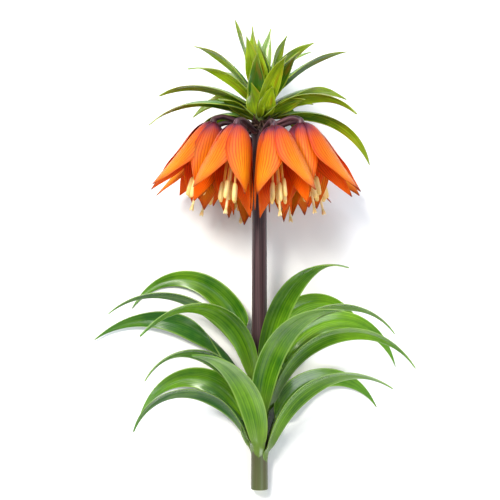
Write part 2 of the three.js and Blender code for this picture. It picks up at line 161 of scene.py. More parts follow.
# The rows of a leaf's heel, from the lowest: how much nearer the stem's middle line than the leaf's
# root, how far below it, and the half width there
LEAF_HEEL = ((2.3, 13.0, 0.9), (1.75, 10.5, 2.7), (1.45, 7.5, 4.0), (0.9, 3.2, 5.0))
LEAF_FLESH = 1.0
LEAF_ROOM = 1.1
LEAF_START = 15  # a leaf's angle from the stem at its root
LEAF_END = 142  # and at its drooping tip
LEAF_SWEEP = 0.9  # how far a leaf that faces up sweeps to its own side
LEAF_HELD_UP = 0.3  # and how much less it droops
FACING_UP = 0.45  # how far a leaf or bract turns its face up, as a share of the way
JOINT_GAP = 0.3  # clearance between separate pieces that touch
GROWTH_STEPS = 40  # steps along a leaf or bract

# ---- Where things are ----

LEAN = math.asin((UMBEL_HEIGHT - CUT_HEIGHT) / STEM_LENGTH)


def umbel_place():
    """The umbel's place in the frame, in millimetres, worked out from the corners at the stem's cut."""
    low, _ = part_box("stem")
    corners = [corner.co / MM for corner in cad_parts["stem"].data.vertices]
    cut = [co for co in corners if co.y < low.y / MM + 2]
    top = max(cut, key=lambda co: co.z)
    x = (min(co.x for co in cut) + max(co.x for co in cut)) / 2
    y = top.y + (top.z - CUT_HEIGHT) * math.tan(LEAN) + STEM_LENGTH * math.cos(LEAN)
    return Vector((x, y, UMBEL_HEIGHT))


LAID = (
    Matrix.Scale(MM, 4)
    @ Matrix.Translation(umbel_place())
    @ Matrix.Rotation(LEAN, 4, "X")
)


def lay(p):
    """Where a point of the growing frame lies, in metres, and never under the surface."""
    laid = LAID @ p
    laid.z = max(laid.z, 0)
    return laid


def surface_under(y):
    """How low the surface lies under the stem's middle line, in the growing frame."""
    return -(UMBEL_HEIGHT + y * math.sin(LEAN)) / math.cos(LEAN)


def stem_radius(y):
    return STEM_RADIUS_TOP + (STEM_RADIUS_CUT - STEM_RADIUS_TOP) * -y / STEM_LENGTH


def blend(a, b, share):
    return a + (b - a) * share


def ease(x, low, high):
    """0 under low, 1 over high, and smooth between."""
    share = min(max((x - low) / (high - low), 0), 1)
    return share * share * (3 - 2 * share)


def vary(seed, spread):
    """A repeatable small variation, from -spread to spread."""
    s = math.sin(seed * 127.1 + 311.7) * 43758.5453
    return spread * (2 * (s - math.floor(s)) - 1)


def from_up(azimuth):
    """How far an azimuth is from straight up, from 0 to 180."""
    return abs((azimuth + 180) % 360 - 180)


def around(azimuth):
    """The directions away from the stem and round it, at an azimuth measured from straight up."""
    a = math.radians(azimuth)
    return Vector((math.sin(a), 0, math.cos(a))), Vector((math.cos(a), 0, -math.sin(a)))


def softly(height, limit):
    """A height that eases onto a limit and never goes under it."""
    return limit + SOFTNESS * math.log1p(math.exp((height - limit) / SOFTNESS))


def settle(p, thickness=0.0):
    """The head gives way to the surface below it and to its own weight above."""
    depth = abs(p.z)
    share = PRESSED_SHARE if p.z < 0 else SAGGED_SHARE
    given = share * depth + (1 - share) * STIFF_DEPTH * math.tanh(depth / STIFF_DEPTH)
    floor = surface_under(p.y) + thickness / 2 - PRESSED_FLAT
    return Vector((p.x, p.y, softly(math.copysign(given, p.z), floor)))


def on_surface(p, thickness):
    """A stiff leaf keeps its shape, and only gives way where it meets the surface."""
    return Vector((p.x, p.y, softly(p.z, surface_under(p.y) + thickness / 2)))


# ---- Making pieces ----

THIN_EDGE = 0.65  # how much thinner a blade is at its edges, as a share
SMOOTH_ANGLE = 50  # faces that meet at less than this are shaded as one, in degrees
STEM_SIDES = 48


def pick(*parts):
    bpy.ops.object.select_all(action="DESELECT")
    for part in parts:
        part.select_set(True)
    bpy.context.view_layer.objects.active = parts[0]


def sheet(rows, tone=0.0):
    """A flat grid whose corners are moved to rows of points, each row from one edge to the other.
    It keeps the grid's UV map, u across and v along, and notes its tone, which shades it."""
    columns = len(rows[0]) - 1
    bpy.ops.mesh.primitive_grid_add(x_subdivisions=columns, y_subdivisions=len(rows) - 1, size=1)
    made = bpy.context.object
    for corner, point in zip(made.data.vertices, [point for row in rows for point in row]):
        corner.co = point
    shade = made.data.attributes.new("tone", "FLOAT", "POINT")
    shade.data.foreach_set("value", [tone] * len(made.data.vertices))
    return made


def blade(rows, materials, tone=0.0):
    """A sheet that is fleshy along its middle and thin at its edges, for thicken()."""
    made = sheet(rows, tone)
    flesh = made.vertex_groups.new(name="flesh")
    columns = len(rows[0])
    for index in range(len(made.data.vertices)):
        share = 2 * (index % columns) / (columns - 1) - 1
        flesh.add([index], 1 - THIN_EDGE * share**4, "REPLACE")
    for material in materials:
        made.data.materials.append(material)
    return made


def through(stops, count):
    """count + 1 vectors on a smooth line through the stops."""
    ends = [2 * stops[0] - stops[1], *stops, 2 * stops[-1] - stops[-2]]
    line = []
    for step in range(count + 1):
        place = step / count * (len(stops) - 1)
        i = min(int(place), len(stops) - 2)
        t = place - i
        a, b, c, d = ends[i : i + 4]
        bend = (2 * a - 5 * b + 4 * c - d) * t**2 + (3 * b - a - 3 * c + d) * t**3
        line.append(0.5 * (2 * b + (c - a) * t + bend))
    return line


def tube(line, sides, upright, material, section=None, tone=0.0):
    """A sheet rolled round a line and joined along its seam. Each point of the line holds a place and
    a radius, in metres, and section gives the radius a share for each angle round it."""
    rows = []
    for before, here, after in zip([line[0], *line], line, [*line[1:], line[-1]]):
        way = (after - before).xyz.normalized()
        first = (upright - way * upright.dot(way)).normalized()
        second = way.cross(first)
        row = []
        for side in range(sides + 1):
            angle = 2 * math.pi * side / sides
            radius = here.w * (section(angle) if section else 1)
            point = here.xyz + (first * math.cos(angle) + second * math.sin(angle)) * radius
            point.z = max(point.z, 0)
            row.append(point)
        rows.append(row)
    made = sheet(rows, tone)
    made.data.materials.append(material)
    pick(made)
    bpy.ops.object.mode_set(mode="EDIT")
    bpy.ops.mesh.select_all(action="SELECT")
    bpy.ops.mesh.remove_doubles(threshold=1e-7)
    bpy.ops.object.mode_set(mode="OBJECT")
    return made


def join(name, parts):
    pick(*parts)
    if len(parts) > 1:
        bpy.ops.object.join()
    parts[0].name = name
    parts[0].data.name = name
    return parts[0]


def thicken(piece, thickness):
    """Gives sheets their flesh, with the second material on the back, and rounds them off."""
    pick(piece)
    wall = piece.modifiers.new("flesh", "SOLIDIFY")
    wall.thickness = thickness * MM
    wall.offset = 0
    wall.vertex_group = "flesh"
    wall.material_offset = 1
    round_off = piece.modifiers.new("round", "SUBSURF")
    round_off.levels = round_off.render_levels = 1
    for modifier in (wall.name, round_off.name):
        bpy.ops.object.modifier_apply(modifier=modifier)
    for corner in piece.data.vertices:
        corner.co.z = max(corner.co.z, 0)
    return piece


def place_on_plant(piece, node):
    pick(piece)
    bpy.ops.object.shade_smooth_by_angle(angle=math.radians(SMOOTH_ANGLE))
    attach(piece, "root")
    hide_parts(node)


# ---- Materials ----

FACTOR, COLOR_A, COLOR_B = 0, 6, 7  # a colour Mix node's inputs
MIXED = 2  # and its output
# A Math node's inputs have no names of their own: MULTIPLY_ADD gives 0 times 1, plus 2.
BANDS_A_UNIT = 3.18  # how many bands a band texture has for each unit of its scale
PETAL_VEINS = 13  # across a tepal
LEAF_VEINS = 12  # and across a leaf or bract
PIT_WIDTH = 0.9 * MM  # in the skin of a stem
VESSEL_GAP = 0.9 * MM  # between the vessels in its cut


def colour(hex_value):
    """A linear colour from an sRGB hex value."""
    shares = [int(hex_value[i : i + 2], 16) / 255 for i in (1, 3, 5)]
    linear = [s / 12.92 if s <= 0.04045 else ((s + 0.055) / 1.055) ** 2.4 for s in shares]
    return (*linear, 1.0)


def add_node(tree, kind, inputs=None, stops=None, **settings):
    """One shader node, with its settings. Each input is a value, another node's output, or a node that
    stands for its first output, and stops are the places and hex colours along a colour ramp."""
    made = tree.nodes.new("ShaderNode" + kind)
    for name, value in settings.items():
        setattr(made, name, value)
    for name, value in (inputs or {}).items():
        if isinstance(value, bpy.types.Node):
            value = value.outputs[0]
        if isinstance(value, bpy.types.NodeSocket):
            tree.links.new(value, made.inputs[name])
        else:
            made.inputs[name].default_value = value
    for number, (place, hex_value) in enumerate(stops or []):
        ramp = made.color_ramp.elements
        stop = ramp[number] if number < 2 else ramp.new(place)
        stop.position = place
        stop.color = colour(hex_value)
    return made


def new_material(name, **sockets):
    """A material and its surface, whose even sockets are set directly."""
    material = bpy.data.materials.new(name)
    material.use_nodes = True
    tree = material.node_tree
    skin = tree.nodes["Principled BSDF"]
    for socket, value in sockets.items():
        skin.inputs[socket.replace("_", " ")].default_value = value
    return material, tree, skin


def on_sheet(tree):
    """Where a point of a sheet is in space, where it is on the sheet, and its u and v by themselves."""
    place = add_node(tree, "TexCoord")
    parts = add_node(tree, "SeparateXYZ", {0: place.outputs["UV"]})
    return place.outputs["Object"], place.outputs["UV"], parts.outputs["X"], parts.outputs["Y"]


def drawn_out(tree, uv, tone, across, along, detail):
    """Noise with a scale of its own across a sheet and along it, and another pattern for each tone."""
    stretch = add_node(tree, "Mapping", {"Vector": uv, "Scale": (across, along, 1)})
    return add_node(
        tree,
        "TexNoise",
        {"Vector": stretch, "Scale": 1.0, "Detail": detail, "W": tone},
        noise_dimensions="4D",
    )


def off_middle(tree, u):
    """How far a point of a sheet is from its middle line, from 0 there to 1 at the edges."""
    sideways = add_node(tree, "Math", {0: u, 1: 2.0, 2: -1.0}, operation="MULTIPLY_ADD")
    return add_node(tree, "Math", {0: sideways}, operation="ABSOLUTE")


def emboss(tree, skin, height, strength, depth):
    """Gives a surface a fine relief: its height is in units of depth, and strength says how marked it is."""
    relief = add_node(tree, "Bump", {"Height": height, "Strength": strength, "Distance": depth})
    tree.links.new(relief.outputs[0], skin.inputs["Normal"])


def petal_face(name, middle, edge, vein, vein_share):
    """One face of a tepal: living petal tissue, thin, satin and moist, with veins that run its whole
    length. Its colour changes from root to tip, and from the middle to the edges. The veins are drawn
    coarser than they are in life: 2 mm apart where it is widest, which is about twice as far."""
    material, tree, skin = new_material(
        name,
        Roughness=0.44,
        IOR=1.33,
        Specular_IOR_Level=0.3,
        Subsurface_Weight=0.35,
        Subsurface_Scale=0.003,
        Subsurface_Radius=(1.0, 0.32, 0.08),
        Sheen_Weight=0.02,
        Sheen_Roughness=0.4,
        Sheen_Tint=colour("#ffb080"),
    )
    here, uv, u, v = on_sheet(tree)
    tone = add_node(tree, "Attribute", attribute_name="tone").outputs["Fac"]
    cloud = add_node(tree, "TexNoise", {"Vector": here, "Scale": 1 / (11 * MM), "Detail": 4.0})
    veins = add_node(
        tree,
        "TexWave",
        {
            "Vector": uv,
            "Scale": PETAL_VEINS / BANDS_A_UNIT,
            "Distortion": 2.4,
            "Detail": 2.0,
            "Detail Scale": 1.2,
        },
        bands_direction="X",
    ).outputs["Fac"]
    streaks = drawn_out(tree, uv, tone, across=26, along=1.6, detail=3.0)
    # the colours reach unevenly far along the streaks
    reach = add_node(tree, "Math", {0: streaks, 1: -0.16, 2: v}, operation="MULTIPLY_ADD")
    along = add_node(tree, "Math", {0: cloud, 1: 0.16, 2: reach}, operation="MULTIPLY_ADD")
    middle_colour = add_node(tree, "ValToRGB", {0: along}, stops=middle)
    # towards the edges the colour turns redder: partly the tepal's own red margin, partly a painted shade
    # where the edge curves away from the light
    edge_margin_and_shade_colour = add_node(tree, "ValToRGB", {0: along}, stops=edge)
    far = off_middle(tree, u)
    edge_margin_and_shade = add_node(tree, "Math", {0: far, 1: 2.1}, operation="POWER")
    blended = add_node(
        tree, "Mix", {FACTOR: edge_margin_and_shade, COLOR_A: middle_colour, COLOR_B: edge_margin_and_shade_colour}, data_type="RGBA"
    )
    lines = add_node(tree, "Math", {0: veins, 1: 3.5}, operation="POWER")
    strength = add_node(tree, "Math", {0: lines, 1: streaks}, operation="MULTIPLY")
    share = add_node(
        tree, "Math", {0: strength, 1: vein_share}, operation="MULTIPLY", use_clamp=True
    )
    veined = add_node(
        tree,
        "Mix",
        {FACTOR: share, COLOR_A: blended.outputs[MIXED], COLOR_B: colour(vein)},
        data_type="RGBA",
    )
    bright = add_node(
        tree, "MapRange", {"Value": tone, "From Min": -1.0, "From Max": 1.0, "To Min": 0.62, "To Max": 0.81}
    )
    # long paler and darker streaks
    value = add_node(tree, "Math", {0: streaks, 1: 0.42, 2: bright}, operation="MULTIPLY_ADD")
    shaded = add_node(tree, "HueSaturation", {"Color": veined.outputs[MIXED], "Value": value})
    tree.links.new(shaded.outputs[0], skin.inputs["Base Color"])
    relief = add_node(
        tree, "Math", {0: streaks, 1: 0.8, 2: veins}, operation="MULTIPLY_ADD"
    )
    emboss(tree, skin, relief, strength=0.25, depth=0.15 * MM)
    return material


TEPAL_OUTSIDE = petal_face(
    "tepal_outside",
    middle=[
        (0.0, "#1e121a"), (0.09, "#341e30"), (0.14, "#6c3448"), (0.205, "#b4442e"),
        (0.34, "#dc6614"), (0.55, "#e27c0c"), (0.78, "#e88e0e"), (0.93, "#da700a"),
        (1.0, "#6c2a08"),
    ],
    # edge colours: the tepal's own redder margin, deepened as a painted shade where the edge curves away
    # from the light
    edge=[
        (0.0, "#221620"), (0.11, "#2c1e36"), (0.17, "#4c2e46"), (0.235, "#943832"),
        (0.31, "#c23a10"), (0.55, "#cc4a06"), (0.85, "#d4640a"), (1.0, "#501c04"),
    ],
    vein="#a01c00",
    vein_share=1.25,
)
TEPAL_INSIDE = petal_face(
    "tepal_inside",
    middle=[
        (0.0, "#1c0a0c"), (0.1, "#480a0a"), (0.28, "#a81a00"), (0.5, "#e83c00"), (0.75, "#f85e00"),
        (0.94, "#fa6c04"), (1.0, "#7c2804"),
    ],
    edge=[
        (0.0, "#2a0e0c"), (0.3, "#c02a00"), (0.6, "#f04c00"), (0.9, "#fa7204"), (1.0, "#6a2004"),
    ],
    vein="#8a1604",
    vein_share=0.9,
)


def leaf_face(name, deep, fresh, edge, root, tip, blush=None, roughness=0.27):
    """One face of a leaf or bract: waxy green skin over parallel veins, which break its broad highlights
    into lengthwise streaks. The rim is paler, as it lets light through. The veins are drawn coarser than
    they are in life: 1 to 1.5 mm apart where it is widest."""
    material, tree, skin = new_material(
        name,
        Roughness=roughness,
        IOR=1.45,
        Specular_IOR_Level=0.25,
        Subsurface_Weight=0.12,
        Subsurface_Scale=0.0015,
        Subsurface_Radius=(0.5, 1.0, 0.15),
        Coat_Weight=0.55,
        Coat_Roughness=0.18,
    )
    here, uv, u, v = on_sheet(tree)
    tone = add_node(tree, "Attribute", attribute_name="tone").outputs["Fac"]
    veins = add_node(
        tree,
        "TexWave",
        {
            "Vector": uv,
            "Scale": LEAF_VEINS / BANDS_A_UNIT,
            "Distortion": 1.0,
            "Detail": 2.0,
            "Detail Scale": 1.2,
        },
        bands_direction="X",
    ).outputs["Fac"]
    streaks = drawn_out(tree, uv, tone, across=14, along=1.8, detail=4.0)
    cloud = add_node(tree, "TexNoise", {"Vector": here, "Scale": 1 / (22 * MM), "Detail": 3.0})
    patch = add_node(tree, "Math", {0: streaks, 1: cloud}, operation="ADD")
    freshness = add_node(tree, "Math", {0: tone, 1: 0.35, 2: patch}, operation="MULTIPLY_ADD")
    share = add_node(
        tree,
        "MapRange",
        {"Value": freshness, "From Min": 0.7, "From Max": 1.45, "To Min": 0.0, "To Max": 1.0},
    )
    green = add_node(
        tree, "Mix", {FACTOR: share, COLOR_A: colour(deep), COLOR_B: colour(fresh)}, data_type="RGBA"
    )
    at_tip = add_node(
        tree, "MapRange", {"Value": v, "From Min": 0.72, "From Max": 1.0, "To Min": 0.0, "To Max": 0.8}
    )
    tipped = add_node(
        tree, "Mix", {FACTOR: at_tip, COLOR_A: green.outputs[MIXED], COLOR_B: colour(tip)}, data_type="RGBA"
    )
    painted = tipped
    if blush:
        spread = drawn_out(tree, uv, tone, across=4, along=2.2, detail=4.0)
        blushed = add_node(
            tree,
            "MapRange",
            {"Value": spread, "From Min": 0.52, "From Max": 0.7, "To Min": 0.0, "To Max": 0.7},
        )
        painted = add_node(
            tree,
            "Mix",
            {FACTOR: blushed, COLOR_A: tipped.outputs[MIXED], COLOR_B: colour(blush)},
            data_type="RGBA",
        )
    far = off_middle(tree, u)
    rim = add_node(
        tree, "MapRange", {"Value": far, "From Min": 0.84, "From Max": 1.0, "To Min": 0.0, "To Max": 0.6}
    )
    rimmed = add_node(
        tree, "Mix", {FACTOR: rim, COLOR_A: painted.outputs[MIXED], COLOR_B: colour(edge)}, data_type="RGBA"
    )
    # towards the root the colour turns to the root colour: for a bract this is a painted shade, darker where
    # the crown's base lies deep in shadow; for a leaf, a duller green at its base
    root_tint_and_shade = add_node(
        tree, "MapRange", {"Value": v, "From Min": 0.03, "From Max": 0.26, "To Min": 0.95, "To Max": 0.0}
    )
    root_tinted_and_shaded = add_node(
        tree,
        "Mix",
        {FACTOR: root_tint_and_shade, COLOR_A: rimmed.outputs[MIXED], COLOR_B: colour(root)},
        data_type="RGBA",
    )
    line = add_node(
        tree,
        "MapRange",
        {"Value": veins, "From Min": 0.0, "From Max": 1.0, "To Min": 0.86, "To Max": 1.12},
    )
    shaded = add_node(tree, "HueSaturation", {"Color": root_tinted_and_shaded.outputs[MIXED], "Value": line})
    tree.links.new(shaded.outputs[0], skin.inputs["Base Color"])
    relief = add_node(
        tree, "Math", {0: streaks, 1: 1.2, 2: veins}, operation="MULTIPLY_ADD"
    )
    emboss(tree, skin, relief, strength=0.25, depth=0.2 * MM)
    return material


LEAF_TOP = leaf_face(
    "leaf_top", deep="#28600a", fresh="#7cae1e", edge="#a8c85c", root="#5e7430", tip="#55842a"
)
LEAF_BACK = leaf_face(
    "leaf_back",
    deep="#3a6a30", fresh="#82aa4c", edge="#b0c870", root="#6e8440", tip="#688c48", roughness=0.36,
)
BRACT_TOP = leaf_face(
    "bract_top",
    deep="#346204",
    fresh="#aac41c",
    edge="#bcc63c",
    # root colour: a painted shade, for the shadow deep in the crown's base
    root="#4c6008",
    tip="#7a941e",
    blush="#8c5c10",
)
BRACT_BACK = leaf_face(
    "bract_back",
    deep="#4c7838",
    fresh="#92ae50",
    edge="#b2c264",
    # root colour: a painted shade, for the shadow deep in the crown's base
    root="#5c6e28",
    tip="#7c984a",
    blush="#806836",
    roughness=0.34,
)


def streaked_skin(name, dark, pale, streaks_round, streaks_along, low=None, low_end=0.0, **sockets):
    """The skin of a stem, stalk or scale: dark, and dulled by a thin waxy bloom that shows as paler
    streaks, so many round it and along it. Its low end can turn green. Its pits are drawn many times
    as coarse as they are in life."""
    material, tree, skin = new_material(
        name, IOR=1.45, Sheen_Weight=0.2, Sheen_Roughness=0.35, **sockets
    )
    skin.inputs["Sheen Tint"].default_value = colour("#cbbcc8")
    here, uv, _, v = on_sheet(tree)
    tone = add_node(tree, "Attribute", attribute_name="tone").outputs["Fac"]
    streaks = drawn_out(tree, uv, tone, across=streaks_round, along=streaks_along, detail=4.0)
    pits = add_node(tree, "TexNoise", {"Vector": here, "Scale": 1 / PIT_WIDTH, "Detail": 2.0})
    share = add_node(
        tree,
        "MapRange",
        {"Value": streaks, "From Min": 0.36, "From Max": 0.7, "To Min": 0.0, "To Max": 1.0},
    )
    bloomed = add_node(
        tree, "Mix", {FACTOR: share, COLOR_A: colour(dark), COLOR_B: colour(pale)}, data_type="RGBA"
    )
    painted = bloomed
    if low:
        ragged = add_node(tree, "Math", {0: streaks, 1: 0.5, 2: v}, operation="MULTIPLY_ADD")
        lowness = add_node(
            tree,
            "MapRange",
            {
                "Value": ragged,
                "From Min": low_end + 0.1,
                "From Max": low_end + 0.42,
                "To Min": 0.9,
                "To Max": 0.0,
            },
        )
        painted = add_node(
            tree,
            "Mix",
            {FACTOR: lowness, COLOR_A: bloomed.outputs[MIXED], COLOR_B: colour(low)},
            data_type="RGBA",
        )
    bright = add_node(
        tree, "MapRange", {"Value": tone, "From Min": -1.0, "From Max": 1.0, "To Min": 0.55, "To Max": 0.85}
    )
    value = add_node(tree, "Math", {0: streaks, 1: 0.6, 2: bright}, operation="MULTIPLY_ADD")
    shaded = add_node(tree, "HueSaturation", {"Color": painted.outputs[MIXED], "Value": value})
    tree.links.new(shaded.outputs[0], skin.inputs["Base Color"])
    relief = add_node(tree, "Math", {0: pits, 1: 0.35, 2: streaks}, operation="MULTIPLY_ADD")
    emboss(tree, skin, relief, strength=0.2, depth=0.2 * MM)
    return material


STEM_SKIN = streaked_skin(
    "stem_skin",
    dark="#1c0f12",
    pale="#604246",
    streaks_round=26,
    streaks_along=2.5,
    low="#566430",
    low_end=0.1,
    Roughness=0.4,
)
STALK_SKIN = streaked_skin(
    "stalk_skin", dark="#2a151c", pale="#6c464e", streaks_round=6, streaks_along=3, Roughness=0.42
)
# the scales' dark brown skin: partly their own colour, partly a painted shade that fills the gaps between
# the bells and stalks
SCALE_AND_SHADE_SKIN = streaked_skin(
    "umbel_scale_and_shade_skin", dark="#1e1210", pale="#5c402c", streaks_round=4, streaks_along=3, Roughness=0.6
)
AXIS_SKIN = streaked_skin(
    "crown_axis_skin", dark="#3a4a1a", pale="#7a8a34", streaks_round=16, streaks_along=4, Roughness=0.45
)


def cut_flesh():
    """The fresh cut across the stem: wet pale pith, with the ends of the vessels as darker dots."""
    material, tree, skin = new_material(
        "cut_flesh", Roughness=0.3, IOR=1.38, Subsurface_Weight=0.3, Subsurface_Scale=0.002
    )
    here, _, _, v = on_sheet(tree)
    vessels = add_node(tree, "TexVoronoi", {"Vector": here, "Scale": 1 / VESSEL_GAP})
    flesh = add_node(
        tree,
        "ValToRGB",
        {0: v},
        stops=[(0.0, "#e6e6c0"), (0.55, "#d3dba0"), (0.8, "#9fb060"), (1.0, "#5a4a3a")],
    )
    dots = add_node(
        tree,
        "MapRange",
        {
            "Value": vessels.outputs["Distance"],
            "From Min": 0.0,
            "From Max": 0.4,
            "To Min": 0.55,
            "To Max": 0.0,
        },
    )
    dotted = add_node(
        tree, "Mix", {FACTOR: dots, COLOR_A: flesh, COLOR_B: colour("#8d9a4e")}, data_type="RGBA"
    )
    tree.links.new(dotted.outputs[MIXED], skin.inputs["Base Color"])
    emboss(tree, skin, vessels.outputs["Distance"], strength=0.5, depth=0.2 * MM)
    return material


def powdery(name, along, grain, strength, **sockets):
    """The dry or fleshy parts inside a bell. along gives the colours from root to tip, and grain is the
    size of the pollen or of the skin's cells, drawn about ten times as coarse as in life."""
    material, tree, skin = new_material(
        name, IOR=1.4, Subsurface_Scale=0.001, Subsurface_Radius=(1.0, 0.7, 0.3), **sockets
    )
    here, _, _, v = on_sheet(tree)
    grains = add_node(tree, "TexNoise", {"Vector": here, "Scale": 1 / grain, "Detail": 3.0})
    reach = add_node(tree, "Math", {0: grains, 1: 0.12, 2: v}, operation="MULTIPLY_ADD")
    shade = add_node(tree, "ValToRGB", {0: reach}, stops=along)
    tree.links.new(shade.outputs[0], skin.inputs["Base Color"])
    emboss(tree, skin, grains, strength=strength, depth=0.2 * MM)
    return material


ANTHER_SKIN = powdery(
    "anther_pollen",
    along=[(0.0, "#e0b04c"), (0.2, "#f4d27c"), (0.6, "#fbe49c"), (1.0, "#f2c874")],
    grain=0.5 * MM,
    strength=0.5,
    Roughness=0.75,
    Subsurface_Weight=0.3,
)
FILAMENT_SKIN = powdery(
    "filament_skin",
    along=[(0.0, "#b8562a"), (0.35, "#ee9a34"), (0.8, "#f6b64e"), (1.0, "#f3cc80")],
    grain=0.7 * MM,
    strength=0.2,
    Roughness=0.4,
    Subsurface_Weight=0.25,
)
STYLE_SKIN = powdery(
    "style_skin",
    along=[(0.0, "#c8c070"), (0.5, "#f2c886"), (0.9, "#f7dfa8"), (1.0, "#f4d79a")],
    grain=0.7 * MM,
    strength=0.2,
    Roughness=0.42,
    Subsurface_Weight=0.25,
)

# ---- Bells ----

TEPAL_FACES = (TEPAL_OUTSIDE, TEPAL_INSIDE)
TEPAL_ROWS = 22
TEPAL_COLUMNS = 10


def tepal_angle(j):
    """The angle of tepal j round its bell, from the bell's front, where two tepals part."""
    even = 360 * (j + 0.5) / TEPAL_COUNT
    turned = math.radians(even)
    return even + FRONT_SPREAD * math.sin(turned) * (1 + math.cos(turned))


def bell_roll(k, azimuth):
    """How far a bell has turned: on top it faces up, and underneath it lies on one tepal's back."""
    side = 1 if azimuth < 180 else -1
    if from_up(azimuth) < 90:
        return -BELL_ROLL * side * from_up(azimuth)
    if from_up(azimuth) < 135:
        return vary(k + 60, 20)
    return side * (180 - from_up(azimuth) - tepal_angle(0))


class Bell:
    """The place and the directions of bell k: down its own axis, and lift and side across it."""

    def __init__(self, k):
        azimuth = 360 * (k + 0.5) / BELL_COUNT + RING_TURN
        self.out, self.side = around(azimuth)
        tilt = math.radians(BELL_TILT + vary(k, 2.5))
        self.down = self.out * math.sin(tilt)
        self.down.y = -math.cos(tilt)
        self.lift = self.out * math.cos(tilt)
        self.lift.y = math.sin(tilt)
        self.top = self.out * (BELL_RING_RADIUS + vary(k + 20, 1.2))
        sunk = UPPER_DROP if self.out.z > 0 else UNDER_DROP
        self.top.y = vary(k + 40, 1.5) + BELL_RISE - sunk * abs(self.out.z)
        self.roll = bell_roll(k, azimuth)
        self.number = k

    def inside(self, along, out_of_axis=0.0, turn=0.0):
        """A point of the bell's own axis, or beside it towards an angle round the bell."""
        across = self.lift * math.cos(turn) + self.side * math.sin(turn)
        return lay(settle(self.top + self.down * along + across * out_of_axis))

    def between_neighbours(self, p, gap):
        """Keeps a point on this bell's own side of the planes that part it from its neighbours."""
        limit = max(p.dot(self.out), WEDGE_START) * math.tan(math.pi / BELL_COUNT) - gap
        share = p.dot(self.side) / limit
        free = 0.6
        held = share
        if abs(share) >= free:
            squeezed = free + (1 - free) * math.tanh((abs(share) - free) / (1 - free))
            held = math.copysign(squeezed, share)
        return p + self.side * ((held - share) * limit)


def tepal_half_width(t):
    belly = TEPAL_HALF_WIDTH * math.sin(math.pi * t**0.84) ** 1.1
    return belly + 0.5 - 0.2 * t**6 + 1.1 * (1 - t) ** 6


def tepal_curve(facing, to):
    """How far a tepal's middle line is from the bell's axis, and how far down along it."""
    steps = 40
    out_of_axis, along = TEPAL_ROOT_RADIUS, 0
    for i in range(steps):
        t = to * (i + 0.5) / steps
        slope = TEPAL_SLOPE + SHOULDER_SLOPE * math.exp(-t / 0.1) + TIP_SLOPE * t**3
        angle = math.radians(slope + OUTWARD_SLOPE * facing * t**0.25)
        out_of_axis += math.sin(angle) * TEPAL_LENGTH * to / steps
        along += math.cos(angle) * TEPAL_LENGTH * to / steps
    return out_of_axis, along


def tepal(bell, j):
    """One tepal: a grid bent to the bell's form, with a soft fold along its middle and waving edges."""
    seed = bell.number * 7 + j
    turn = math.radians(tepal_angle(j) + bell.roll + vary(seed, 3))
    outward = bell.lift * math.cos(turn) + bell.side * (BELL_NARROWING * math.sin(turn))
    round_way = bell.side * math.cos(turn) - bell.lift * math.sin(turn)
    inner = j % 2 == 1
    levels = [(i / TEPAL_ROWS) ** 1.15 for i in range(TEPAL_ROWS + 1)]
    curve = [tepal_curve(math.cos(turn), t) for t in levels]
    spine = []
    for t, (out_of_axis, along) in zip(levels, curve):
        parting = (-0.5 if inner else 0.5) * TEPAL_RING_GAP * min(1, t / 0.1)
        spine.append(bell.top + bell.down * along + outward * (out_of_axis + parting))
    rows = []
    for i, (t, here) in enumerate(zip(levels, spine)):
        ahead = spine[min(i + 1, TEPAL_ROWS)]
        behind = spine[max(i - 1, 0)]
        normal = (ahead - behind).cross(round_way).normalized()
        if normal.dot(outward) > 0:
            normal.negate()
        hollow = curve[i][0] * (0.8 if inner else 1) + 1
        half_width = tepal_half_width(t)
        row = []
        for column in range(TEPAL_COLUMNS + 1):
            share = 1 - 2 * column / TEPAL_COLUMNS
            angle = share * half_width / hollow
            shift = vary(seed + 17 * math.copysign(1, share), 0.5)
            wave = math.sin(2 * math.pi * (EDGE_WAVES * t + shift))
            waved = EDGE_WAVE * wave * abs(share) ** 3 * math.sin(math.pi * t)
            fold = -TEPAL_FOLD * math.exp(-((share / FOLD_WIDTH) ** 2)) * math.sin(math.pi * t)
            p = here + round_way * (hollow * math.sin(angle))
            p += normal * (hollow * (1 - math.cos(angle)) + waved + fold)
            p = bell.between_neighbours(p, INNER_TEPAL_GAP if inner else BELL_GAP)
            row.append(lay(settle(p, TEPAL_ROOM)))
        rows.append(row)
    return blade(rows, TEPAL_FACES, vary(seed + 300, 1))


def rod_in_bell(bell, stops, steps, sides, material, section=None, tone=0.0):
    """A tube along a smooth line in a bell. Each stop is how far along the bell's axis, how far out of
    it, at what angle round it, and the radius there."""
    line = []
    for along, out_of_axis, turn, radius in through([Vector(stop) for stop in stops], steps):
        place = bell.inside(along, out_of_axis, turn)
        line.append(Vector((*place, max(radius, 0) * MM)))
    upright = LAID.to_3x3() @ bell.lift
    if abs(upright.normalized().dot(Vector((0, 0, 1)))) < 0.1:
        upright = LAID.to_3x3() @ bell.out
    return tube(line, sides, upright.normalized(), material, section, tone)


def tepals(bell):
    """The six tepals of a bell, and the thick end of its stalk, which they spring from."""
    blades = [tepal(bell, j) for j in range(TEPAL_COUNT)]
    piece = join(f"bell_{bell.number + 1}_tepals", blades)
    thicken(piece, TEPAL_FLESH)
    receptacle = rod_in_bell(
        bell,
        [(-0.6, 0, 0, 2.0), (0.6, 0, 0, 2.7), (1.8, 0, 0, 4.0), (3.2, 0, 0, 3.0), (3.4, 0, 0, 0)],
        steps=20,
        sides=20,
        material=STALK_SKIN,
        tone=-1.0,
    )
    return join(piece.name, [piece, receptacle])


def anther_section(angle):
    """An anther is two fat lobes side by side, with a groove down its face."""
    groove = 0.12 * math.exp(-(((angle - math.pi / 2) / 0.3) ** 2))
    return 0.8 + 0.2 * abs(math.cos(angle)) ** 1.5 - groove


def ovary_section(angle):
    """An ovary has three blunt corners."""
    return 0.88 + 0.12 * math.cos(3 * angle)


